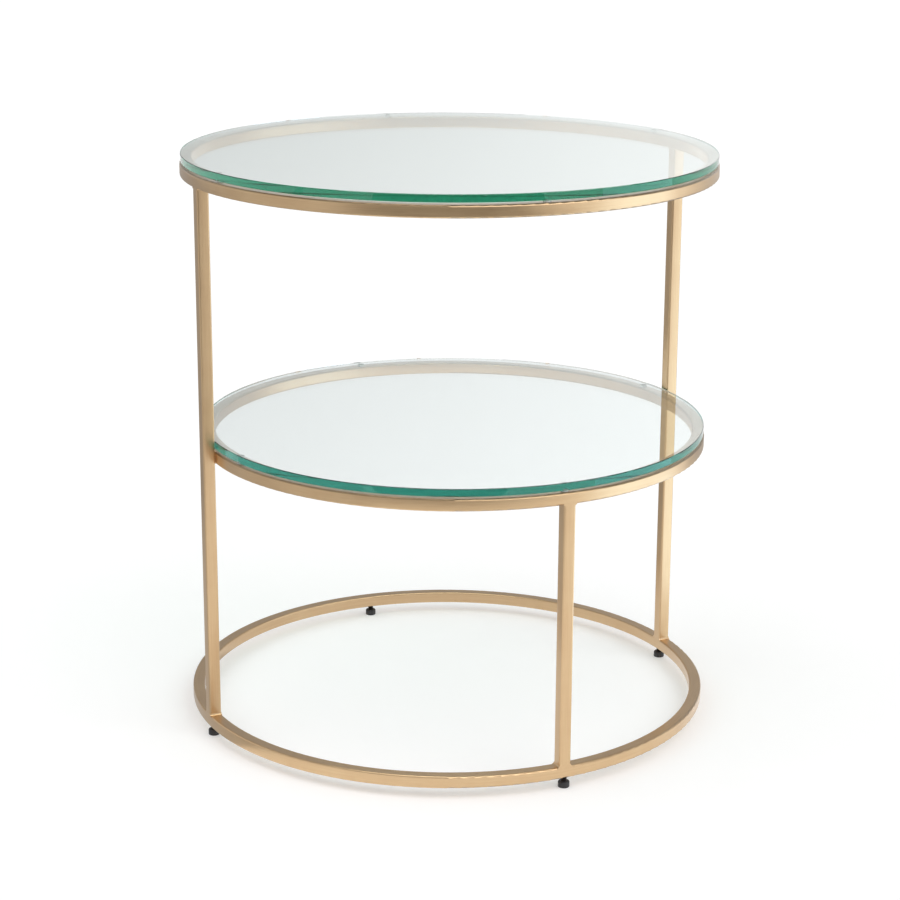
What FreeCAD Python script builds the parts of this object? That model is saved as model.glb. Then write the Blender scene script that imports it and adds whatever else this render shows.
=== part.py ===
import FreeCAD, Part
import math
import os

os.makedirs("parts", exist_ok=True)

# Two-tier round side table: three rolled square-tube hoops welded to three square-tube legs,
# a glass disc lying loose on clear bumpers on each of the two upper hoops, and four screw feet.
# Millimetres, +Z up, origin on the floor under the centre of the base hoop.

# ---------------------------------------------------------------- square steel tube
TUBE = 12.7                 # outside width of the tube
WALL = 1.2                  # wall thickness
TUBE_CORNER = 1.7           # outside corner radius of the drawn tube

# ---------------------------------------------------------------- hoops
HOOP_R = 279.5              # outside radius of the base and top hoops
SHELF_SEAM = 0.3            # least weld gap between the shelf hoop and a tall leg
BASE_Z = 11.5               # underside of the base hoop
SHELF_Z = 299.5             # underside of the shelf hoop
TOP_Z = 584.4               # underside of the top hoop

# ---------------------------------------------------------------- legs
LEG_SET_IN = 0.1            # flat outer face of a leg inside the hoop's outer radius
LEG_FRONT_DEG = 295.2       # azimuth of the short leg under the shelf
LEG_LEFT_DEG = LEG_FRONT_DEG - 90
LEG_RIGHT_DEG = LEG_FRONT_DEG - 270

# ---------------------------------------------------------------- welds
FOOT_BEAD = 2.0             # fillet size where a leg stands on the base hoop
HEAD_BEAD = 1.0             # fillet size where a leg meets a hoop from below
SEAM_W = 9.0                # width of the seam between a tall leg and the shelf hoop
SEAM_DEPTH = 2.4            # how far that seam reaches over the hoop

# ---------------------------------------------------------------- glass
GLASS_T = 8.0               # thickness of both discs
GLASS_INSET = 0.8           # disc edge inside the outer radius of its hoop
ARRIS = 0.6                 # ground arris on the polished edge

# ---------------------------------------------------------------- clear bumpers
BUMPER_D = 8.0
BUMPER_H = 2.0
BUMPER_DOME = 0.7           # edge rounding of the soft top
TOP_BUMPER_DEG = (34.5, 105.0, 214.5, 289.5)
SHELF_BUMPER_DEG = (34.5, 114.5, 214.5, 294.5)

# ---------------------------------------------------------------- levelling feet
FOOT_DEG = (26.0, 110.0, 205.2, 295.6)
PAD_D = 11.8
PAD_H = 6.5
PAD_CHAMFER = 1.2           # bevel round the top of the pad
SOLE_BEVEL = 0.5            # small bevel round the sole
STEM_D = 6.0
STEM_UP = 7.0               # stem inside the base hoop at rest
STEM_CHAMFER = 0.6
STEM_CLEAR = 0.05           # radial running clearance of the stem in bush and pad
SOCKET_FLOOR = 1.6          # pad material left under the stem
HEAD_H = 1.2                # full-diameter end of the stem below its snap groove
NECK_D = 4.4                # diameter of the groove
NECK_H = 1.0                # height of the groove
BUSH_D = 9.0
BUSH_H = 9.0

# ---------------------------------------------------------------- faces several pieces share
LEG_OUTER_R = HOOP_R - LEG_SET_IN
LEG_INNER_R = LEG_OUTER_R - TUBE
SHELF_R = LEG_INNER_R - SHELF_SEAM
SHELF_SHIFT = HOOP_R - SHELF_R      # puts the shelf hoop flush over the short leg
BEARING_R = TUBE / 2                # centre line of a tube behind its outer face

X = FreeCAD.Vector(1, 0, 0)
Y = FreeCAD.Vector(0, 1, 0)
Z = FreeCAD.Vector(0, 0, 1)
ORIGIN = FreeCAD.Vector(0, 0, 0)


def polar(radius, deg, z=0.0):
    angle = math.radians(deg)
    return FreeCAD.Vector(radius * math.cos(angle), radius * math.sin(angle), z)


def turn(shape, deg):
    """Turn a shape drawn on the +X side to an azimuth."""
    shape.rotate(ORIGIN, Z, deg)
    return shape


def rounded_square(centre, u_dir, v_dir):
    """Face of the tube's outline, in the plane of two unit vectors."""
    half = TUBE / 2
    flat = half - TUBE_CORNER
    arc = half - TUBE_CORNER * (1 - math.sqrt(0.5))
    edges = []
    for a, b in ((1, 0), (0, 1), (-1, 0), (0, -1)):
        def at(u, v):
            return centre + u_dir * (a * u - b * v) + v_dir * (b * u + a * v)
        edges.append(Part.makeLine(at(half, -flat), at(half, flat)))
        edges.append(Part.Arc(at(half, flat), at(arc, arc), at(flat, half)).toShape())
    return Part.Face(Part.Wire(edges))


def bore_square(centre, u_dir, v_dir):
    """Face of the tube's bore."""
    half = TUBE / 2 - WALL
    corners = [centre + u_dir * u + v_dir * v
               for u, v in ((half, -half), (half, half), (-half, half), (-half, -half))]
    return Part.Face(Part.makePolygon(corners + corners[:1]))


def bar_and_tube(centre, u_dir, v_dir, sweep):
    """The same length of tube twice: filled, to shape the welds by, and hollow."""
    outline = rounded_square(centre, u_dir, v_dir)
    bar = sweep(outline)
    tube = sweep(outline.cut(bore_square(centre, u_dir, v_dir)).Faces[0])
    return bar, tube


def hoop(outer_r, z_low, shift):
    """Square tube rolled to a full circle and butt-welded."""
    centre = FreeCAD.Vector(outer_r - BEARING_R, 0, z_low + TUBE / 2)
    pair = bar_and_tube(centre, X, Z, lambda face: face.revolve(ORIGIN, Z, 360))
    for shape in pair:
        shape.translate(shift)
    return pair


def leg(deg, z_low, z_high):
    """Straight length of the same tube, two faces square to the hoop's radius."""
    centre = FreeCAD.Vector(LEG_OUTER_R - BEARING_R, 0, z_low)
    pair = bar_and_tube(centre, X, Y, lambda face: face.extrude(Z * (z_high - z_low)))
    return tuple(turn(shape, deg) for shape in pair)


def butt_weld(deg, z_joint, up, bead, hoop_r, shift, bars):
    """Weld round the end of a leg: a fillet on each side, dressed flush with the tube faces."""
    half = TUBE / 2
    toe = half + bead
    hollow = bead * (1 - math.sqrt(0.5))        # from the fillet's corner to the middle of its arc
    start_r = LEG_INNER_R - TUBE                # the block is drawn one tube past both leg faces
    block = 3 * TUBE

    def at(y, z):
        return FreeCAD.Vector(start_r, y, z_joint + up * z)

    outline = Part.Wire([
        Part.makeLine(at(-toe, -TUBE_CORNER), at(toe, -TUBE_CORNER)),
        Part.makeLine(at(toe, -TUBE_CORNER), at(toe, 0)),
        Part.Arc(at(toe, 0), at(half + hollow, hollow), at(half, bead)).toShape(),
        Part.makeLine(at(half, bead), at(-half, bead)),
        Part.Arc(at(-half, bead), at(-half - hollow, hollow), at(-toe, 0)).toShape(),
        Part.makeLine(at(-toe, 0), at(-toe, -TUBE_CORNER)),
    ])
    weld = turn(Part.Face(outline).extrude(X * block), deg)
    ring_h = 2 * TUBE                           # tall enough to hold the bead on either side
    ring_foot = shift + Z * (z_joint - TUBE)
    ring = Part.makeCylinder(hoop_r, ring_h, ring_foot)
    ring = ring.cut(Part.makeCylinder(hoop_r - TUBE, ring_h, ring_foot))
    return weld.common(ring).cut(bars).Solids[0]


def seam_weld(deg, bars):
    """Weld filling the crevice between a tall leg's inner face and the shelf hoop beside it."""
    corner = FreeCAD.Vector(LEG_INNER_R - SEAM_DEPTH, -SEAM_W / 2, SHELF_Z)
    return turn(Part.makeBox(SEAM_DEPTH, SEAM_W, TUBE, corner), deg).cut(bars).Solids[0]


def turned(points, place):
    """Solid of revolution about a vertical axis from radius and height pairs."""
    outline = [FreeCAD.Vector(r, 0, z) for r, z in points]
    solid = Part.Face(Part.makePolygon(outline + outline[:1])).revolve(ORIGIN, Z, 360)
    solid.translate(place)
    return solid


def glass_disc(radius, place):
    """Round float glass, edge polished flat with a ground arris above and below."""
    return turned([(0, 0), (radius - ARRIS, 0), (radius, ARRIS), (radius, GLASS_T - ARRIS),
                   (radius - ARRIS, GLASS_T), (0, GLASS_T)], place)


def bumper(place):
    """Self-adhesive clear bumper with a soft rounded top."""
    dot = Part.makeCylinder(BUMPER_D / 2, BUMPER_H)
    rim = [edge for edge in dot.Edges
           if len(edge.Vertexes) == 1 and edge.Vertexes[0].Z > BUMPER_H / 2]
    dot = dot.makeFillet(BUMPER_DOME, rim)
    dot.translate(place)
    return dot


def foot_bush(place):
    """Threaded round bush let into the lower wall of the base hoop, flush below."""
    bore = STEM_D / 2 + STEM_CLEAR
    return turned([(bore, 0), (BUSH_D / 2, 0), (BUSH_D / 2, BUSH_H), (bore, BUSH_H)], place)


def foot_stem(place):
    """Screw stem of a levelling foot, its lower end grooved to snap into the pad."""
    full = STEM_D / 2
    neck = NECK_D / 2
    groove = SOCKET_FLOOR + HEAD_H
    top = BASE_Z + STEM_UP
    return turned([(0, SOCKET_FLOOR), (full, SOCKET_FLOOR), (full, groove), (neck, groove),
                   (neck, groove + NECK_H), (full, groove + NECK_H),
                   (full, top - STEM_CHAMFER), (full - STEM_CHAMFER, top), (0, top)], place)


def foot_pad(place):
    """Moulded pad, bored for the stem, with an inner lip that stands in the stem's groove."""
    rim = PAD_D / 2
    bore = STEM_D / 2 + STEM_CLEAR
    lip = NECK_D / 2 + STEM_CLEAR
    lip_low = SOCKET_FLOOR + HEAD_H + STEM_CLEAR
    lip_high = SOCKET_FLOOR + HEAD_H + NECK_H - STEM_CLEAR
    return turned([(0, 0), (rim - SOLE_BEVEL, 0), (rim, SOLE_BEVEL), (rim, PAD_H - PAD_CHAMFER),
                   (rim - PAD_CHAMFER, PAD_H), (bore, PAD_H), (bore, lip_high), (lip, lip_high),
                   (lip, lip_low), (bore, lip_low), (bore, SOCKET_FLOOR), (0, SOCKET_FLOOR)], place)


nodes = {}

# Hoops. The shelf hoop is smaller: it lies inside the two tall legs and is shifted towards the
# short leg, so that its outer face runs flush with that leg's outer face.
shelf_centre = polar(SHELF_SHIFT, LEG_FRONT_DEG)
base_bar, base_tube = hoop(HOOP_R, BASE_Z, ORIGIN)
shelf_bar, shelf_tube = hoop(SHELF_R, SHELF_Z, shelf_centre)
top_bar, top_tube = hoop(HOOP_R, TOP_Z, ORIGIN)
for deg in FOOT_DEG:
    hole_foot = polar(HOOP_R - BEARING_R, deg, BASE_Z - WALL)
    base_tube = base_tube.cut(Part.makeCylinder(BUSH_D / 2, 2 * WALL, hole_foot))
nodes["base_hoop"] = base_tube.Solids[0]
nodes["shelf_hoop"] = shelf_tube
nodes["top_hoop"] = top_tube

# Legs. All stand on the base hoop; two run up to the top hoop, the short one to the shelf hoop.
left_bar, nodes["leg_left"] = leg(LEG_LEFT_DEG, BASE_Z + TUBE, TOP_Z)
right_bar, nodes["leg_right"] = leg(LEG_RIGHT_DEG, BASE_Z + TUBE, TOP_Z)
front_bar, nodes["leg_front"] = leg(LEG_FRONT_DEG, BASE_Z + TUBE, SHELF_Z)

# Welds, one at each end of a leg and one beside each tall leg at the shelf.
for side, deg, bar in (("left", LEG_LEFT_DEG, left_bar), ("right", LEG_RIGHT_DEG, right_bar),
                       ("front", LEG_FRONT_DEG, front_bar)):
    nodes["weld_foot_" + side] = butt_weld(deg, BASE_Z + TUBE, 1, FOOT_BEAD, HOOP_R, ORIGIN,
                                           [base_bar, bar])
for side, deg, bar in (("left", LEG_LEFT_DEG, left_bar), ("right", LEG_RIGHT_DEG, right_bar)):
    nodes["weld_head_" + side] = butt_weld(deg, TOP_Z, -1, HEAD_BEAD, HOOP_R, ORIGIN,
                                           [top_bar, bar])
    nodes["weld_shelf_" + side] = seam_weld(deg, [shelf_bar, bar])
nodes["weld_head_front"] = butt_weld(LEG_FRONT_DEG, SHELF_Z, -1, HEAD_BEAD, SHELF_R, shelf_centre,
                                     [shelf_bar, front_bar])

# Glass discs and the bumpers they lie on.
for tier, hoop_r, centre, z_low, angles in (
        ("top", HOOP_R, ORIGIN, TOP_Z, TOP_BUMPER_DEG),
        ("shelf", SHELF_R, shelf_centre, SHELF_Z, SHELF_BUMPER_DEG)):
    seat = z_low + TUBE
    nodes["glass_" + tier] = glass_disc(hoop_r - GLASS_INSET, centre + Z * (seat + BUMPER_H))
    for count, deg in enumerate(angles, 1):
        nodes["bumper_%s_%d" % (tier, count)] = bumper(centre + polar(hoop_r - BEARING_R, deg, seat))

# Levelling feet: a bush in the hoop, a screw stem through it and a pad snapped on the stem.
for count, deg in enumerate(FOOT_DEG, 1):
    axis = polar(HOOP_R - BEARING_R, deg)
    nodes["foot_bush_%d" % count] = foot_bush(axis + Z * BASE_Z)
    nodes["foot_stem_%d" % count] = foot_stem(axis)
    nodes["foot_pad_%d" % count] = foot_pad(axis)

for name, shape in nodes.items():
    shape.exportStep("parts/%s.step" % name)
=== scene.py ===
import math

import bmesh
import bpy
from mathutils import Matrix, Vector


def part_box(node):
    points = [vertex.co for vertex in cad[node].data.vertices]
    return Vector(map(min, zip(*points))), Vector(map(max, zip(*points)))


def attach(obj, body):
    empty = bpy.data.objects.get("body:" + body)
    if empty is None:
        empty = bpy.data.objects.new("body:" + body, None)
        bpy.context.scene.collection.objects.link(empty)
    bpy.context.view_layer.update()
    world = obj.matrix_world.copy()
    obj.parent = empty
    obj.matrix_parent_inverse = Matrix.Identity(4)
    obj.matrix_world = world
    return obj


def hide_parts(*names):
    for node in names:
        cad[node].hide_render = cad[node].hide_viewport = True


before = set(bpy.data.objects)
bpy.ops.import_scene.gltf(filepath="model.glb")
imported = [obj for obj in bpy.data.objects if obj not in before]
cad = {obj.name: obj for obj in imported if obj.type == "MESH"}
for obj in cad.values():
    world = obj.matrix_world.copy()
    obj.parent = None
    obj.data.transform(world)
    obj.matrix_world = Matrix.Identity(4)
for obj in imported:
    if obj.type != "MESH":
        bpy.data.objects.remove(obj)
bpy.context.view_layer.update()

scene = bpy.context.scene

# ---------------------------------------------------------------------------------------------------------
# Camera: a long lens about a metre above the floor in front of the table, looking sixteen degrees down on
# it, level but for a third of a degree.
# ---------------------------------------------------------------------------------------------------------
# In the whole script lengths are in metres and angles in degrees, but the lens and film in millimetres.
CAMERA_PLACE = Vector((0.0, -2.4018, 0.9706))
CAMERA_DOWN = 16.0056
CAMERA_YAW = 0.0457
CAMERA_ROLL = 0.296
CAMERA_LENS = 92.76
CAMERA_FILM = 36.0
CAMERA_CLIP_END = 60.0

lens = bpy.data.cameras.new("product_lens")
lens.sensor_width = CAMERA_FILM
lens.lens = CAMERA_LENS
lens.clip_end = CAMERA_CLIP_END
camera = bpy.data.objects.new("product_camera", lens)
scene.collection.objects.link(camera)
pan = Matrix.Rotation(math.radians(-CAMERA_YAW), 4, "Z")
tilt = Matrix.Rotation(math.radians(90.0 - CAMERA_DOWN), 4, "X")
roll = Matrix.Rotation(math.radians(CAMERA_ROLL), 4, "Z")
camera.matrix_world = Matrix.Translation(CAMERA_PLACE) @ (pan @ tilt) @ roll
scene.camera = camera

# ---------------------------------------------------------------------------------------------------------
# Hoops and legs: half-inch square steel tube, rolled or cut straight, welded, linished to a satin grain
# along its length, plated in champagne brass and sealed with a clear lacquer.
# ---------------------------------------------------------------------------------------------------------
TUBE_WIDTH = 0.0127
FACE_CROWN = 0.00020
# The belt's real marks are 0.1 to 0.2 mm wide. That is too fine to show, so they are drawn 1.2 mm wide.
GRAIN_WIDTH = 0.0012
GRAIN_LENGTH = 0.055
GRAIN_DETAIL = 2.0
GRAIN_HARSHNESS = 0.6
GRAIN_RELIEF = 0.05
GRAIN_DEPTH = 0.0001
TARNISH_PATCH = 0.030
TARNISH_DETAIL = 3.0
TARNISH_SHARE = 0.4
BRASS_TONES = ((0.30, "D5B288"), (0.70, "E0C196"))
BRASS_ROUGHNESS = (0.27, 0.37)
LACQUER = 0.5
LACQUER_ROUGHNESS = 0.2
LACQUER_IOR = 1.5
# Under a disc the hoop's top is given painted shade: from the first depth to the second under its upper
# face the brass is painted darker, with less lacquer.
SHADE_UNDER_GLASS_DEPTHS = (0.0019, 0.0011)
PAINTED_SHADE_UNDER_GLASS = 0.50
SHADED_TOP_LACQUER = 0.3


def linear(hex_colour):
    """A colour written in sRGB hex, as the linear values that a shader takes."""
    channels = [int(hex_colour[i:i + 2], 16) / 255.0 for i in (0, 2, 4)]
    return tuple(c / 12.92 if c <= 0.04045 else ((c + 0.055) / 1.055) ** 2.4 for c in channels) + (1.0,)


def add_node(material, kind, values=None, links=None, stops=(), **settings):
    """One node: values go to its sockets, and links join its sockets to other nodes' outputs. stops are
    the positions and hex colours on a colour ramp."""
    new = material.node_tree.nodes.new(kind)
    for name, value in settings.items():
        setattr(new, name, value)
    for socket, value in (values or {}).items():
        new.inputs[socket].default_value = value
    for socket, output in (links or {}).items():
        material.node_tree.links.new(output, new.inputs[socket])
    for i, (position, hex_colour) in enumerate(stops):
        new.color_ramp.elements[i].position = position
        new.color_ramp.elements[i].color = linear(hex_colour)
    return new


def new_material(name):
    """An empty node material."""
    material = bpy.data.materials.new(name)
    material.use_nodes = True
    material.node_tree.nodes.clear()
    return material


def middle(node):
    """The middle of a CAD node's box in plan, its radius across x, and its lowest and highest level."""
    low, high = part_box(node)
    return (low.x + high.x) / 2.0, (low.y + high.y) / 2.0, (high.x - low.x) / 2.0, low.z, high.z


def satin_brass(name, grain, centre=None, faces=(0.0, 0.0, 0.0), glass_level=None):
    """Champagne brass, belt-linished and lacquered: a pale warm gold that shows its surroundings as soft
    streaks along the grain, with slow lighter and darker patches. grain is "round" for the hoops, "up"
    for the legs and "none" for the dressed welds, whose grinding marks run every way. centre is the
    tube's middle, and faces has a 1 for each direction across it, for the slight crown that drawing
    leaves on each face. glass_level is the upper face of a hoop that carries a disc."""
    material = new_material(name)
    place = add_node(material, "ShaderNodeTexCoord").outputs["Object"]
    fine, slow = 1.0 / GRAIN_WIDTH, 1.0 / GRAIN_LENGTH
    stretch = {"round": (slow, slow, fine), "up": (fine, fine, slow), "none": (fine, fine, fine)}[grain]
    stretched = add_node(material, "ShaderNodeMapping", {"Scale": stretch}, {"Vector": place})
    parts = add_node(material, "ShaderNodeSeparateXYZ", links={"Vector": place})
    along = {"Vector": stretched.outputs["Vector"]}
    if grain == "round":
        flat = add_node(material, "ShaderNodeCombineXYZ",
                        links={"X": parts.outputs["X"], "Y": parts.outputs["Y"]})
        reach = add_node(material, "ShaderNodeVectorMath", links={0: flat.outputs["Vector"]},
                         operation="LENGTH")
        across = add_node(material, "ShaderNodeMath", {1: fine}, {0: reach.outputs["Value"]},
                          operation="MULTIPLY")
        along["W"] = across.outputs["Value"]
    marks = add_node(material, "ShaderNodeTexNoise",
                     {"Scale": 1.0, "Detail": GRAIN_DETAIL, "Roughness": GRAIN_HARSHNESS}, along,
                     noise_dimensions="4D").outputs["Fac"]
    tarnish = add_node(material, "ShaderNodeTexNoise",
                       {"Scale": 1.0 / TARNISH_PATCH, "Detail": TARNISH_DETAIL}, {"Vector": place})
    blend = add_node(material, "ShaderNodeMix", {"Factor": TARNISH_SHARE},
                     {"A": marks, "B": tarnish.outputs["Fac"]}).outputs["Result"]
    rough = add_node(material, "ShaderNodeMapRange",
                     {"From Min": BRASS_TONES[0][0], "From Max": BRASS_TONES[1][0],
                      "To Min": BRASS_ROUGHNESS[0], "To Max": BRASS_ROUGHNESS[1]}, {"Value": blend})
    tone = add_node(material, "ShaderNodeValToRGB", links={"Fac": blend}, stops=BRASS_TONES)
    bump = add_node(material, "ShaderNodeBump", {"Strength": GRAIN_RELIEF, "Distance": GRAIN_DEPTH},
                    {"Height": marks})
    if centre is not None:
        off_centre = add_node(material, "ShaderNodeVectorMath", {1: centre}, {0: place},
                              operation="SUBTRACT")
        across = add_node(material, "ShaderNodeVectorMath", {1: faces}, {0: off_centre.outputs["Vector"]},
                          operation="MULTIPLY").outputs["Vector"]
        square = add_node(material, "ShaderNodeVectorMath", links={0: across, 1: across},
                          operation="DOT_PRODUCT")
        # The middle of a face stands FACE_CROWN higher than its edges, as on a shallow parabola.
        crown = add_node(material, "ShaderNodeMath", {1: -4.0 * FACE_CROWN / TUBE_WIDTH ** 2},
                         {0: square.outputs["Value"]}, operation="MULTIPLY")
        crowned = add_node(material, "ShaderNodeBump", {"Strength": 1.0, "Distance": 1.0},
                           {"Height": crown.outputs["Value"]})
        material.node_tree.links.new(crowned.outputs["Normal"], bump.inputs["Normal"])
    finish = {"Base Color": tone.outputs["Color"], "Roughness": rough.outputs["Result"],
              "Normal": bump.outputs["Normal"]}
    # Painted shade under the disc: near the hoop's upper face the brass colour is scaled darker and its
    # lacquer thinned.
    if glass_level is not None:
        shade_band = {"From Min": glass_level - SHADE_UNDER_GLASS_DEPTHS[0], "From Max": glass_level - SHADE_UNDER_GLASS_DEPTHS[1]}
        shade = add_node(material, "ShaderNodeMapRange", {**shade_band, "To Min": 1.0, "To Max": PAINTED_SHADE_UNDER_GLASS},
                         {"Value": parts.outputs["Z"]})
        shaded = add_node(material, "ShaderNodeVectorMath", operation="SCALE",
                          links={0: tone.outputs["Color"], "Scale": shade.outputs["Result"]})
        lacquer = add_node(material, "ShaderNodeMapRange",
                           {**shade_band, "To Min": LACQUER, "To Max": SHADED_TOP_LACQUER},
                           {"Value": parts.outputs["Z"]})
        finish.update({"Base Color": shaded.outputs["Vector"], "Coat Weight": lacquer.outputs["Result"]})
    surface = add_node(material, "ShaderNodeBsdfPrincipled",
                       {"Metallic": 1.0, "Coat Weight": LACQUER, "Coat Roughness": LACQUER_ROUGHNESS,
                        "Coat IOR": LACQUER_IOR}, finish)
    add_node(material, "ShaderNodeOutputMaterial", links={"Surface": surface.outputs["BSDF"]})
    return material


def dress(node, material):
    """Gives a CAD node's material slot its finish."""
    for slot in cad[node].material_slots:
        slot.material = material


for hoop in ("base_hoop", "shelf_hoop", "top_hoop"):
    low, high = middle(hoop)[3:]
    glass_level = None if hoop == "base_hoop" else high
    dress(hoop, satin_brass(f"satin_brass_{hoop}", "round", (0.0, 0.0, (low + high) / 2.0),
                            (0.0, 0.0, 1.0), glass_level))
for leg in ("leg_left", "leg_right", "leg_front"):
    x, y = middle(leg)[:2]
    dress(leg, satin_brass(f"satin_brass_{leg}", "up", (x, y, 0.0), (1.0, 1.0, 0.0)))

# ---------------------------------------------------------------------------------------------------------
# Welds: fillets at both ends of each leg and at the shelf hoop, ground back and plated with the frame, so
# they carry the brass without its straight grain.
# ---------------------------------------------------------------------------------------------------------
weld_brass = satin_brass("satin_brass_dressed_weld", "none")
for node in cad:
    if node.startswith("weld_"):
        dress(node, weld_brass)

# ---------------------------------------------------------------------------------------------------------
# Bumpers: clear soft polyurethane dots, cast domed and stuck on the hoops, that the glass discs rest on.
# Cast clear and left with dust on them, they look like drops of slightly milky resin.
# ---------------------------------------------------------------------------------------------------------
BUMPER_HEX = "E9ECE8"
BUMPER_IOR = 1.49
BUMPER_CLEARNESS = 0.35
BUMPER_HAZE = (0.05, 0.16)
BUMPER_DUST = 0.0015
BUMPER_DUST_DETAIL = 2.0

bumper_resin = new_material("clear_cast_polyurethane")
place = add_node(bumper_resin, "ShaderNodeTexCoord").outputs["Object"]
dust = add_node(bumper_resin, "ShaderNodeTexNoise",
                {"Scale": 1.0 / BUMPER_DUST, "Detail": BUMPER_DUST_DETAIL}, {"Vector": place})
haze = add_node(bumper_resin, "ShaderNodeMapRange", {"To Min": BUMPER_HAZE[0], "To Max": BUMPER_HAZE[1]},
                {"Value": dust.outputs["Fac"]})
surface = add_node(bumper_resin, "ShaderNodeBsdfPrincipled",
                   {"Base Color": linear(BUMPER_HEX), "IOR": BUMPER_IOR,
                    "Transmission Weight": BUMPER_CLEARNESS}, {"Roughness": haze.outputs["Result"]})
add_node(bumper_resin, "ShaderNodeOutputMaterial", links={"Surface": surface.outputs["BSDF"]})
for node in cad:
    if node.startswith("bumper_"):
        dress(node, bumper_resin)

# ---------------------------------------------------------------------------------------------------------
# Foot bushes and stems: steel, turned and chemically blackened. A bush is let into the hoop's underside,
# and the M6 stem screws up into it. The stem's thread has a 1 mm pitch.
# ---------------------------------------------------------------------------------------------------------
STEEL_TONES = ((0.0, "2B2A2C"), (1.0, "4A4749"))
STEEL_ROUGHNESS = (0.30, 0.52)
SMUT_PATCH = 0.0012
SMUT_DETAIL = 3.0
THREAD_PITCH = 0.001
THREAD_DEPTH = 0.00055
THREAD_SIDES = 48
THREAD_ROWS = 8
THREAD_SMOOTH_BELOW = 35.0
STEM_TIP = 0.0006
HEAD_HEIGHT = 0.0012
NECK_HEIGHT = 0.0010
NECK_RADIUS = 0.0022
LEVEL_ROUNDING = 1e-6

# Blackened steel gives a dark grey sheen, cloudy where the oil dried.
black_steel = new_material("black_oxide_turned_steel")
place = add_node(black_steel, "ShaderNodeTexCoord").outputs["Object"]
smuts = add_node(black_steel, "ShaderNodeTexNoise", {"Scale": 1.0 / SMUT_PATCH, "Detail": SMUT_DETAIL},
                 {"Vector": place}).outputs["Fac"]
rough = add_node(black_steel, "ShaderNodeMapRange",
                 {"To Min": STEEL_ROUGHNESS[0], "To Max": STEEL_ROUGHNESS[1]}, {"Value": smuts})
tone = add_node(black_steel, "ShaderNodeValToRGB", links={"Fac": smuts}, stops=STEEL_TONES)
surface = add_node(black_steel, "ShaderNodeBsdfPrincipled", {"Metallic": 1.0},
                   {"Base Color": tone.outputs["Color"], "Roughness": rough.outputs["Result"]})
add_node(black_steel, "ShaderNodeOutputMaterial", links={"Surface": surface.outputs["BSDF"]})
for node in cad:
    if node.startswith("foot_bush_"):
        dress(node, black_steel)


def finish_piece(shape, name, material, smooth_below):
    """Turns a bmesh into the finished piece, shaded soft where faces meet at less than that angle."""
    bmesh.ops.recalc_face_normals(shape, faces=shape.faces[:])
    mesh = bpy.data.meshes.new(name)
    shape.to_mesh(mesh)
    shape.free()
    for face in mesh.polygons:
        face.use_smooth = True
    mesh.set_sharp_from_angle(angle=math.radians(smooth_below))
    mesh.materials.append(material)
    piece = bpy.data.objects.new(name, mesh)
    scene.collection.objects.link(piece)
    return piece


def only(kind, geometry):
    """The vertices or the edges of what an operator gives back."""
    return [part for part in geometry if isinstance(part, kind)]


def draw_ring(shape, edges, level, radius):
    """Draws a ring of edges on to another level and radius, and gives the new ring's edges."""
    drawn = bmesh.ops.extrude_edge_only(shape, edges=edges)["geom"]
    for vert in only(bmesh.types.BMVert, drawn):
        vert.co = (vert.co.xy.normalized() * radius).to_3d()
        vert.co.z = level
    return only(bmesh.types.BMEdge, drawn)


for number in range(1, 5):
    x, y, radius, low, high = middle(f"foot_stem_{number}")
    neck_low = low + HEAD_HEIGHT
    thread_low = neck_low + NECK_HEIGHT
    shape = bmesh.new()
    bmesh.ops.create_circle(shape, segments=THREAD_SIDES, radius=radius,
                            matrix=Matrix.Translation((0.0, 0.0, low)))
    ring = shape.edges[:]
    for level, reach in ((neck_low, radius), (neck_low, NECK_RADIUS), (thread_low, NECK_RADIUS),
                         (thread_low, radius)):
        ring = draw_ring(shape, ring, level, reach)
    rows = math.ceil((high - thread_low) / THREAD_PITCH * THREAD_ROWS)
    for row in range(1, rows + 1):
        ring = draw_ring(shape, ring, thread_low + (high - thread_low) * row / rows, radius)
    for vert in shape.verts:
        rise = vert.co.z - thread_low
        if rise > LEVEL_ROUNDING:
            # A V groove that runs once round the stem for each pitch, and a chamfer at the tip.
            turn = math.atan2(vert.co.y, vert.co.x) / (2.0 * math.pi)
            cut = 1.0 - abs(2.0 * ((rise / THREAD_PITCH - turn) % 1.0) - 1.0)
            tip = max(0.0, vert.co.z - (high - STEM_TIP))
            vert.co.xy *= (radius - THREAD_DEPTH * cut - tip) / radius
    bmesh.ops.holes_fill(shape, edges=[edge for edge in shape.edges if edge.is_boundary], sides=0)
    bmesh.ops.translate(shape, vec=(x, y, 0.0), verts=shape.verts[:])
    stem = finish_piece(shape, f"foot_{number}_threaded_stem", black_steel, THREAD_SMOOTH_BELOW)
    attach(stem, f"screw_{number}")
    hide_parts(f"foot_stem_{number}")

# ---------------------------------------------------------------------------------------------------------
# Foot pads: black nylon, injection moulded with soft corners, open at the top where the stem's head snaps
# in, so that the pad stands still while the stem turns.
# ---------------------------------------------------------------------------------------------------------
PAD_SEGMENTS = 96
PAD_SOFT = 0.0007
PAD_SOFT_STEPS = 4
PAD_CHAMFER = 0.0014
PAD_CHAMFER_STEPS = 5
PAD_BORE = 0.00305
PAD_FLOOR = 0.0016
PAD_SMOOTH_BELOW = 40.0
NYLON_TONES = ((0.0, "242426"), (1.0, "353436"))
NYLON_IOR = 1.53
NYLON_ROUGHNESS = (0.38, 0.62)
# The spark-eroded grain is about 0.1 mm wide. That is too fine to show, so it is drawn 0.5 mm wide.
SPARK_WIDTH = 0.0005
SPARK_DETAIL = 2.0
SPARK_RELIEF = 0.25
SPARK_DEPTH = 0.0001
SCUFF_PATCH = 0.004
SCUFF_DETAIL = 3.0

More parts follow.
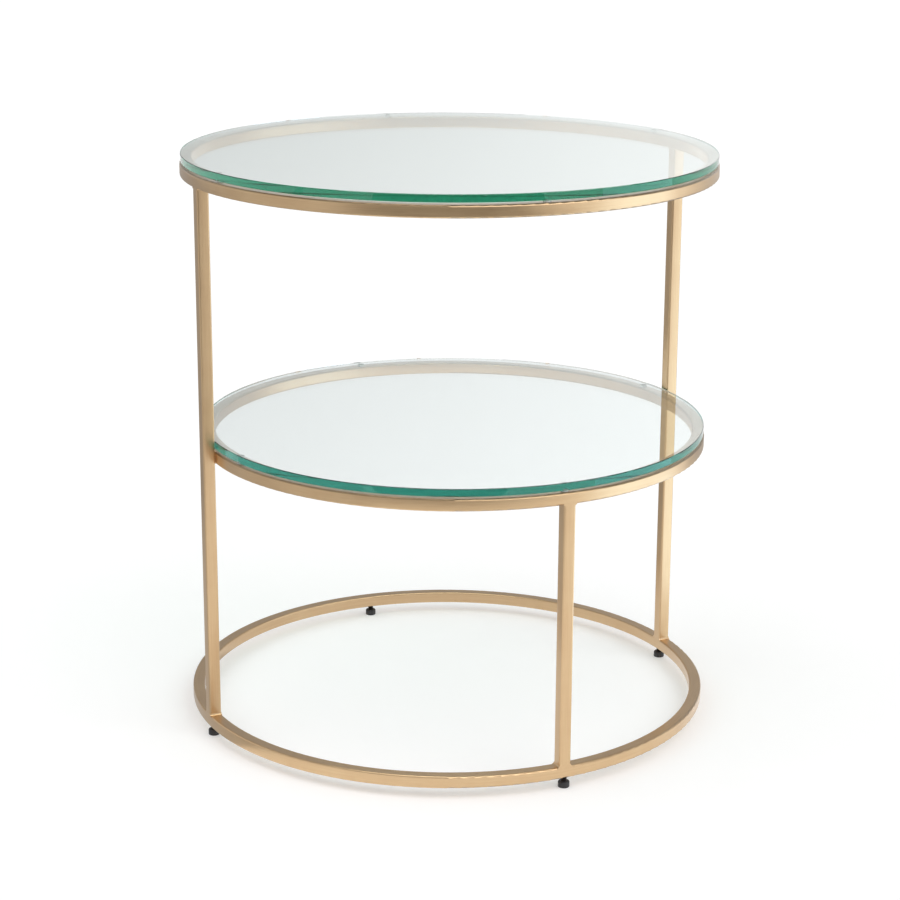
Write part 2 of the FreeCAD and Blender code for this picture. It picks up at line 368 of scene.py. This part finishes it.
# Moulded nylon with that grain looks soft black, greyer and duller where it has rubbed on the floor.
pad_nylon = new_material("black_moulded_nylon")
place = add_node(pad_nylon, "ShaderNodeTexCoord").outputs["Object"]
spark = add_node(pad_nylon, "ShaderNodeTexNoise", {"Scale": 1.0 / SPARK_WIDTH, "Detail": SPARK_DETAIL},
                 {"Vector": place})
scuff = add_node(pad_nylon, "ShaderNodeTexNoise", {"Scale": 1.0 / SCUFF_PATCH, "Detail": SCUFF_DETAIL},
                 {"Vector": place}).outputs["Fac"]
rough = add_node(pad_nylon, "ShaderNodeMapRange",
                 {"To Min": NYLON_ROUGHNESS[0], "To Max": NYLON_ROUGHNESS[1]}, {"Value": scuff})
tone = add_node(pad_nylon, "ShaderNodeValToRGB", links={"Fac": scuff}, stops=NYLON_TONES)
bump = add_node(pad_nylon, "ShaderNodeBump", {"Strength": SPARK_RELIEF, "Distance": SPARK_DEPTH},
                {"Height": spark.outputs["Fac"]})
surface = add_node(pad_nylon, "ShaderNodeBsdfPrincipled", {"IOR": NYLON_IOR},
                   {"Base Color": tone.outputs["Color"], "Roughness": rough.outputs["Result"],
                    "Normal": bump.outputs["Normal"]})
add_node(pad_nylon, "ShaderNodeOutputMaterial", links={"Surface": surface.outputs["BSDF"]})


def round_plate(radius, height, segments):
    """A closed round plate on the level z 0, as a bmesh, and the edges of its lower and upper rim."""
    plate = bmesh.new()
    bmesh.ops.create_circle(plate, cap_ends=True, segments=segments, radius=radius)
    raised = bmesh.ops.extrude_face_region(plate, geom=plate.faces[:])["geom"]
    bmesh.ops.translate(plate, vec=(0.0, 0.0, height), verts=only(bmesh.types.BMVert, raised))
    rims = [edge for edge in plate.edges if edge.verts[0].co.z == edge.verts[1].co.z]
    return (plate, [edge for edge in rims if edge.verts[0].co.z == 0.0],
            [edge for edge in rims if edge.verts[0].co.z > 0.0])


def soften(shape, edges, width, steps):
    """Rounds off edges, or cuts them to a flat where steps is 1."""
    bmesh.ops.bevel(shape, geom=edges, offset=width, offset_type="OFFSET", affect="EDGES", segments=steps,
                    profile=0.5, material=-1)


for number in range(1, 5):
    x, y, radius, low, high = middle(f"foot_pad_{number}")
    shape, foot_rim, top_rim = round_plate(radius, high - low, PAD_SEGMENTS)
    soften(shape, top_rim, PAD_CHAMFER, PAD_CHAMFER_STEPS)
    soften(shape, foot_rim, PAD_SOFT, PAD_SOFT_STEPS)
    top = max(shape.faces, key=lambda face: face.calc_center_median().z)
    bmesh.ops.inset_region(shape, faces=[top], thickness=top.verts[0].co.xy.length - PAD_BORE, depth=0.0)
    sunk = bmesh.ops.extrude_face_region(shape, geom=[top])["geom"]
    bmesh.ops.delete(shape, geom=[top], context="FACES_KEEP_BOUNDARY")
    bmesh.ops.translate(shape, vec=(0.0, 0.0, PAD_FLOOR - (high - low)),
                        verts=only(bmesh.types.BMVert, sunk))
    bmesh.ops.translate(shape, vec=(x, y, low), verts=shape.verts[:])
    pad = finish_piece(shape, f"foot_{number}_moulded_pad", pad_nylon, PAD_SMOOTH_BELOW)
    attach(pad, f"foot_{number}")
    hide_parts(f"foot_pad_{number}")

# ---------------------------------------------------------------------------------------------------------
# Glass discs: 8 mm clear float glass, cut round, the edge ground flat and polished with a small arris.
# The iron in it turns the edge green. They lie loose on the bumpers.
# ---------------------------------------------------------------------------------------------------------
GLASS_IOR = 1.52
GLASS_SEGMENTS = 512
GLASS_ARRIS = 0.0006
GLASS_ARRIS_STEPS = 1
GLASS_SMOOTH_BELOW = 20.0
GLASS_DENSITY = 7.4
GLASS_SHADOW_HEX = "F6FBF8"
WHITE_HEX = "FFFFFF"
WIPE_WIDTH = 0.09
WIPE_DETAIL = 3.0
WIPE_EDGE = 0.45
WIPE_GLOSS = (0.50, 0.47)
GLASS_DISCS = (("glass_top", "top_glass_disc", "top_disc", "00D1B9"),
               ("glass_shelf", "shelf_glass_disc", "shelf_disc", "00D0C4"))


def float_glass(name, tint):
    """Clear soda-lime float glass, fire-polished on its faces. The faces show the room in them, with
    faint wipe marks, and the whole way across the disc to the edge adds up to a deep green, bluer in
    some batches."""
    glass = new_material(name)
    place = add_node(glass, "ShaderNodeTexCoord").outputs["Object"]
    wipes = add_node(glass, "ShaderNodeTexNoise", {"Scale": 1.0 / WIPE_WIDTH, "Detail": WIPE_DETAIL},
                     {"Vector": place})
    gloss = add_node(glass, "ShaderNodeMapRange",
                     {"From Min": WIPE_EDGE, "To Min": WIPE_GLOSS[0], "To Max": WIPE_GLOSS[1]},
                     {"Value": wipes.outputs["Fac"]})
    surface = add_node(glass, "ShaderNodeBsdfPrincipled",
                       {"Base Color": linear(WHITE_HEX), "Roughness": 0.0, "IOR": GLASS_IOR,
                        "Transmission Weight": 1.0}, {"Specular IOR Level": gloss.outputs["Result"]})
    rays = add_node(glass, "ShaderNodeLightPath")
    through = add_node(glass, "ShaderNodeBsdfTransparent", {"Color": linear(GLASS_SHADOW_HEX)})
    shown = add_node(glass, "ShaderNodeMixShader",
                     links={0: rays.outputs["Is Shadow Ray"], 1: surface.outputs["BSDF"],
                            2: through.outputs["BSDF"]})
    body = add_node(glass, "ShaderNodeVolumeAbsorption",
                    {"Color": linear(tint), "Density": GLASS_DENSITY})
    add_node(glass, "ShaderNodeOutputMaterial",
             links={"Surface": shown.outputs["Shader"], "Volume": body.outputs["Volume"]})
    return glass


for node, name, rides, tint in GLASS_DISCS:
    x, y, radius, low, high = middle(node)
    shape, lower_rim, upper_rim = round_plate(radius, high - low, GLASS_SEGMENTS)
    soften(shape, lower_rim + upper_rim, GLASS_ARRIS, GLASS_ARRIS_STEPS)
    bmesh.ops.translate(shape, vec=(x, y, low), verts=shape.verts[:])
    disc = finish_piece(shape, name, float_glass(f"clear_float_{node}", tint), GLASS_SMOOTH_BELOW)
    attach(disc, rides)
    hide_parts(node)

# ---------------------------------------------------------------------------------------------------------
# Studio floor and room: a concrete floor rolled with matt white paint, which stays white to the horizon,
# in a white room whose walls give an even, pale light from all round.
# ---------------------------------------------------------------------------------------------------------
FLOOR_REACH = 40.0
FLOOR_SIDES = 64
FLOOR_LIFT = 0.24
FLOOR_MOTTLE = 0.025
FLOOR_MOTTLE_DETAIL = 2.0
FLOOR_TONES = ((0.0, "E6E6E6"), (1.0, "E9E9E9"))
SHEET_SMOOTH_BELOW = 30.0
ROOM_LIGHT = 0.60
HORIZON_LIGHT = 1.0


def seen_straight(material):
    """1 for rays that show the background: from the camera, off metal and through glass."""
    rays = add_node(material, "ShaderNodeLightPath")
    direct = add_node(material, "ShaderNodeMath", operation="MAXIMUM",
                      links={0: rays.outputs["Is Camera Ray"], 1: rays.outputs["Is Glossy Ray"]})
    either = add_node(material, "ShaderNodeMath", operation="MAXIMUM",
                      links={0: direct.outputs["Value"], 1: rays.outputs["Is Transmission Ray"]})
    return either.outputs["Value"]


def round_sheet(radius, level, sides):
    """A flat round sheet on a level, as a bmesh."""
    sheet = bmesh.new()
    bmesh.ops.create_circle(sheet, cap_ends=True, segments=sides, radius=radius)
    bmesh.ops.translate(sheet, vec=(0.0, 0.0, level), verts=sheet.verts[:])
    return sheet


# Matt paint has no gloss, so the floor shows only soft shadows, and hardly a trace of the roller. Looked
# at straight it also glows a little, which lifts it to the white of the room behind it.
floor_paint = new_material("matt_white_floor_paint")
place = add_node(floor_paint, "ShaderNodeTexCoord").outputs["Object"]
mottle = add_node(floor_paint, "ShaderNodeTexNoise",
                  {"Scale": 1.0 / FLOOR_MOTTLE, "Detail": FLOOR_MOTTLE_DETAIL}, {"Vector": place})
tone = add_node(floor_paint, "ShaderNodeValToRGB", links={"Fac": mottle.outputs["Fac"]},
                stops=FLOOR_TONES)
paint = add_node(floor_paint, "ShaderNodeBsdfDiffuse", links={"Color": tone.outputs["Color"]})
lift = add_node(floor_paint, "ShaderNodeMath", {1: FLOOR_LIFT}, {0: seen_straight(floor_paint)},
                operation="MULTIPLY")
glow = add_node(floor_paint, "ShaderNodeEmission", links={"Strength": lift.outputs["Value"]})
both = add_node(floor_paint, "ShaderNodeAddShader",
                links={0: paint.outputs["BSDF"], 1: glow.outputs["Emission"]})
add_node(floor_paint, "ShaderNodeOutputMaterial", links={"Surface": both.outputs["Shader"]})
floor = finish_piece(round_sheet(FLOOR_REACH, 0.0, FLOOR_SIDES), "studio_floor", floor_paint,
                     SHEET_SMOOTH_BELOW)

world = bpy.data.worlds.new("studio_room")
world.use_nodes = True
world.node_tree.nodes.clear()
room = add_node(world, "ShaderNodeBackground", {"Color": linear(WHITE_HEX), "Strength": ROOM_LIGHT})
white = add_node(world, "ShaderNodeBackground", {"Color": linear(WHITE_HEX), "Strength": HORIZON_LIGHT})
seen = add_node(world, "ShaderNodeMixShader",
                links={0: seen_straight(world), 1: room.outputs["Background"],
                       2: white.outputs["Background"]})
add_node(world, "ShaderNodeOutputWorld", links={"Surface": seen.outputs["Shader"]})
scene.world = world

# ---------------------------------------------------------------------------------------------------------
# Cards: sheets of lit paper that lie, stand and hang round the table, as round all polished things in a
# studio. Only reflections show them, and some only the satin brass's, since glass would show their edges.
# ---------------------------------------------------------------------------------------------------------
EVEN = (0.0, 0.0, 0.0)
COOL_HEX = "E0F0FF"
# A card shows where the count of reflections lies within the second number of the first: one or two.
REFLECTIONS_SHOWN = (1.5, 0.6)
# Each card has what shows it, its light, how that light changes per metre along x, y and z, its colour,
# and its corners.
CARDS = {
    "front_floor_card": ("all", 0.47, (0.0, 0.06, 0.0), WHITE_HEX,
                         ((-1.9, -3.4, 0.004), (2.3, -3.4, 0.004), (2.3, -1.40, 0.004),
                          (-1.9, -0.98, 0.004))),
    "front_screen": ("brass", 0.20, EVEN, WHITE_HEX,
                     ((-3.4, -3.4, 0.0), (2.3, -3.4, 0.0), (2.3, -3.4, 0.95), (-3.4, -3.4, 0.95))),
    "front_low_screen": ("all", 0.20, EVEN, WHITE_HEX,
                         ((-3.4, -3.38, 0.0), (2.3, -3.38, 0.0), (2.3, -3.38, 0.30),
                          (-3.4, -3.38, 0.30))),
    "left_floor_card": ("all", 0.68, EVEN, WHITE_HEX,
                        ((-3.4, -1.9, 0.003), (-0.45, -0.95, 0.003), (-0.40, -0.30, 0.003),
                         (-3.4, -0.30, 0.003))),
    "left_side_floor_card": ("all", 0.52, (-0.04, 0.0, 0.0), WHITE_HEX,
                             ((-3.4, -0.30, 0.003), (-0.235, -0.30, 0.003), (-0.235, 0.285, 0.003),
                              (-3.4, 0.285, 0.003))),
    "left_screen": ("brass", 0.55, EVEN, WHITE_HEX,
                    ((-3.4, -3.4, 0.0), (-3.4, 3.2, 0.0), (-3.4, 3.2, 0.8), (-3.4, -3.4, 0.8))),
    "rear_floor_card": ("brass", 0.45, EVEN, WHITE_HEX,
                        ((-3.4, 0.285, 0.003), (0.20, 0.285, 0.003), (0.20, 3.2, 0.003),
                         (-3.4, 3.2, 0.003))),
    "right_rear_floor_card": ("brass", 0.85, EVEN, WHITE_HEX,
                              ((0.20, 0.75, 0.003), (3.4, 1.0, 0.003), (3.4, 3.2, 0.003),
                               (0.20, 3.2, 0.003))),
    "right_reflector": ("all", 1.95, EVEN, COOL_HEX,
                        ((0.42, -0.36, 0.005), (3.0, -1.50, 0.005), (3.0, 0.60, 0.005),
                         (0.42, 0.20, 0.005))),
    "right_softbox": ("all", 2.15, EVEN, COOL_HEX,
                      ((3.0, -1.50, 0.0), (3.0, 0.65, 0.0), (3.0, 0.65, 0.8), (3.0, -1.50, 0.8))),
    "rear_screen": ("brass", 0.37, (0.10, 0.0, 0.34), WHITE_HEX,
                    ((-0.9, 0.45, 0.0), (0.9, 0.45, 0.0), (0.9, 0.45, 0.352), (-0.9, 0.45, 0.352))),
    "left_rear_screen": ("brass", 0.28, (0.0, 0.0, 0.30), WHITE_HEX,
                         ((-1.6, 0.9, 0.0), (-0.42, 0.9, 0.0), (-0.42, 0.9, 0.56), (-1.6, 0.9, 0.56))),
    "right_rear_screen": ("brass", 0.42, (0.05, 0.0, 0.40), WHITE_HEX,
                          ((0.42, 0.9, 0.0), (1.6, 0.9, 0.0), (1.6, 0.9, 0.5), (0.42, 0.9, 0.5))),
    "lit_wall": ("brass", 0.325, (0.32, 0.0, 0.50), WHITE_HEX,
                 ((-2.6, 4.0, 0.9), (2.6, 4.0, 0.9), (2.6, 4.0, 1.62), (-2.6, 4.0, 1.62))),
    "upper_wall": ("brass", 0.36, EVEN, WHITE_HEX,
                   ((-4.0, 4.0, 1.62), (4.0, 4.0, 1.62), (4.0, 4.0, 3.6), (-4.0, 4.0, 3.6))),
    "ceiling_card": ("brass", 0.34, EVEN, WHITE_HEX,
                     ((-3.2, -3.2, 2.3), (3.2, -3.2, 2.3), (3.2, 3.9, 2.3), (-3.2, 3.9, 2.3))),
    "overhead_softbox": ("all", 3.0, EVEN, WHITE_HEX,
                         ((-0.9, -0.9, 2.2), (1.8, -0.9, 2.2), (1.8, 0.4, 2.2), (-0.9, 0.4, 2.2))),
}


def hide_card(card):
    """Keeps a studio card out of the straight look, and off the floor and the shadows."""
    card.visible_camera = card.visible_diffuse = card.visible_shadow = False


def lit_card(name, seen_in, light, change, colour, shape):
    """Matt paper under a lamp: it shines evenly, or with a change of light per metre along x, y and z.
    It shows after one or two reflections, and lets every other look pass. seen_in is "all", "brass" for
    a card that only satin metal shows, or "glass" for one that only polished glass shows. The light of
    the last sort is painted on its points."""
    paper = new_material(name + "_paper")
    shine = add_node(paper, "ShaderNodeEmission", {"Color": linear(colour), "Strength": light})
    if any(change):
        place = add_node(paper, "ShaderNodeTexCoord").outputs["Object"]
        slope = add_node(paper, "ShaderNodeVectorMath", {1: change}, {0: place}, operation="DOT_PRODUCT")
        level = add_node(paper, "ShaderNodeMath", {1: light}, {0: slope.outputs["Value"]},
                         operation="ADD")
        paper.node_tree.links.new(level.outputs["Value"], shine.inputs["Strength"])
    rays = add_node(paper, "ShaderNodeLightPath")
    shows = add_node(paper, "ShaderNodeMath", {1: REFLECTIONS_SHOWN[0], 2: REFLECTIONS_SHOWN[1]},
                     {0: rays.outputs["Glossy Depth"]}, operation="COMPARE").outputs["Value"]
    if seen_in == "brass":
        shows = add_node(paper, "ShaderNodeMath", links={0: shows, 1: rays.outputs["Is Singular Ray"]},
                         operation="GREATER_THAN").outputs["Value"]
    if seen_in == "glass":
        shows = add_node(paper, "ShaderNodeMath", links={0: shows, 1: rays.outputs["Is Singular Ray"]},
                         operation="MULTIPLY").outputs["Value"]
        painted = add_node(paper, "ShaderNodeAttribute", attribute_name="light")
        paper.node_tree.links.new(painted.outputs["Fac"], shine.inputs["Strength"])
    clear = add_node(paper, "ShaderNodeBsdfTransparent")
    either = add_node(paper, "ShaderNodeMixShader",
                      links={0: shows, 1: clear.outputs["BSDF"], 2: shine.outputs["Emission"]})
    add_node(paper, "ShaderNodeOutputMaterial", links={"Surface": either.outputs["Shader"]})
    paper.cycles.emission_sampling = "NONE"
    hide_card(finish_piece(shape, name, paper, SHEET_SMOOTH_BELOW))


for name, (seen_in, light, change, colour, corners) in CARDS.items():
    shape = bmesh.new()
    shape.faces.new([shape.verts.new(corner) for corner in corners])
    lit_card(name, seen_in, light, change, colour, shape)

# ---------------------------------------------------------------------------------------------------------
# Cove: the backdrop that the glass shows, a long sheet of paper that hangs behind the table and runs
# forward over it. It is lit unevenly, and is as white as the room at its borders, so that no edge shows.
# ---------------------------------------------------------------------------------------------------------
# Each row has its y and z, its light in the middle and the light's gain per metre of x.
COVE_ROWS = ((3.90, 0.25, 1.000, 0.00), (3.90, 0.85, 0.750, 0.32), (3.90, 1.10, 0.875, 0.32),
             (3.90, 1.67, 1.160, 0.32), (3.80, 2.00, 1.000, 0.20), (3.50, 2.25, 0.850, 0.10),
             (2.60, 2.42, 0.600, 0.00), (1.00, 2.50, 0.340, 0.00), (-2.40, 2.40, 0.340, 0.00),
             (-3.80, 2.20, 1.000, 0.00))
COVE_COLUMNS = (-3.8, -2.4, -1.0, 0.0, 1.0, 2.4, 3.8)
COVE_LEAST = 0.60

shape = bmesh.new()
painted = shape.verts.layers.float.new("light")
grid = []
for y, z, level, gain in COVE_ROWS:
    row = [shape.verts.new((x, y, z)) for x in COVE_COLUMNS]
    for vert in row:
        vert[painted] = max(level + gain * vert.co.x, min(level, COVE_LEAST))
    row[0][painted] = row[-1][painted] = HORIZON_LIGHT
    grid.append(row)
for lower, upper in zip(grid, grid[1:]):
    for i in range(len(COVE_COLUMNS) - 1):
        shape.faces.new((lower[i], lower[i + 1], upper[i + 1], upper[i]))
lit_card("glass_cove", "glass", HORIZON_LIGHT, EVEN, WHITE_HEX, shape)

# ---------------------------------------------------------------------------------------------------------
# Inner card: a round sheet of the same lit paper that lies on the floor inside the base hoop, for the
# hoops' inner faces to show.
# ---------------------------------------------------------------------------------------------------------
INNER_CARD_RADIUS = 0.262
INNER_CARD_LEVEL = 0.001
INNER_CARD_LIGHT = 0.80
ROUND_SHEET_SIDES = 96

lit_card("inner_floor_card", "all", INNER_CARD_LIGHT, EVEN, WHITE_HEX,
         round_sheet(INNER_CARD_RADIUS, INNER_CARD_LEVEL, ROUND_SHEET_SIDES))

# ---------------------------------------------------------------------------------------------------------
# Grey gel: a clear sheet on the floor that paints shade, none in the middle and darker away from the
# table.
# Only what is seen through a disc passes it, so that the glass stands off from the white round it.
# ---------------------------------------------------------------------------------------------------------
GEL_REACH = 6.0
GEL_LEVEL = 0.006
# The gel's clearness at distances from the table's middle: the less clear, the more painted shade.
GEL_CLEARNESS = ((0.30, 1.00), (0.80, 0.775), (1.50, 0.78), (3.20, 0.58))
UNREFLECTED_BELOW = 0.5

# The gel has no face that shows, and only greys what lies behind it with painted shade.
gel = new_material("painted_shade_gel_sheet")
place = add_node(gel, "ShaderNodeTexCoord").outputs["Object"]
away = add_node(gel, "ShaderNodeVectorMath", links={0: place}, operation="LENGTH")
share = add_node(gel, "ShaderNodeMath", {1: 1.0 / GEL_REACH}, {0: away.outputs["Value"]},
                 operation="MULTIPLY")
clearness = add_node(gel, "ShaderNodeValToRGB", links={"Fac": share.outputs["Value"]})
while len(clearness.color_ramp.elements) < len(GEL_CLEARNESS):
    clearness.color_ramp.elements.new(1.0)
for stop, (radius, level) in zip(clearness.color_ramp.elements, GEL_CLEARNESS):
    stop.position = radius / GEL_REACH
    stop.color = (level, level, level, 1.0)
reflections = add_node(gel, "ShaderNodeLightPath").outputs["Glossy Depth"]
straight = add_node(gel, "ShaderNodeMath", {1: UNREFLECTED_BELOW}, {0: reflections},
                    operation="LESS_THAN")
passed = add_node(gel, "ShaderNodeMix", {"A": 1.0},
                  {"Factor": straight.outputs["Value"], "B": clearness.outputs["Color"]})
film = add_node(gel, "ShaderNodeBsdfTransparent", links={"Color": passed.outputs["Result"]})
add_node(gel, "ShaderNodeOutputMaterial", links={"Surface": film.outputs["BSDF"]})
hide_card(finish_piece(round_sheet(GEL_REACH, GEL_LEVEL, ROUND_SHEET_SIDES), "painted_shade_gel", gel,
                       SHEET_SMOOTH_BELOW))

# ---------------------------------------------------------------------------------------------------------
# Lamps: two large soft lamps on high stands, the stronger one in front to the right, for the soft
# shadows. Metal and glass show the cards instead of the lamps.
# ---------------------------------------------------------------------------------------------------------
# Each lamp has the place that it shines from, its power and its spread in degrees.
LAMPS = {
    "high_right_lamp": ((1.6, -1.6, 2.6), 1.05, 50.0),
    "high_left_lamp": ((-2.0, -0.8, 2.8), 0.65, 60.0),
}

for name, (place, power, spread) in LAMPS.items():
    lamp = bpy.data.lights.new(name, "SUN")
    lamp.energy = power
    lamp.angle = math.radians(spread)
    holder = bpy.data.objects.new(name, lamp)
    scene.collection.objects.link(holder)
    holder.location = place
    holder.rotation_euler = (-Vector(place)).to_track_quat("-Z", "Y").to_euler()
    holder.visible_camera = holder.visible_glossy = holder.visible_transmission = False

# Light runs from face to face inside a disc many times before it leaves by the rim.
LIGHT_BOUNCES = 32
scene.cycles.max_bounces = LIGHT_BOUNCES
scene.cycles.glossy_bounces = LIGHT_BOUNCES
scene.cycles.transmission_bounces = LIGHT_BOUNCES
scene.view_settings.view_transform = "Standard"
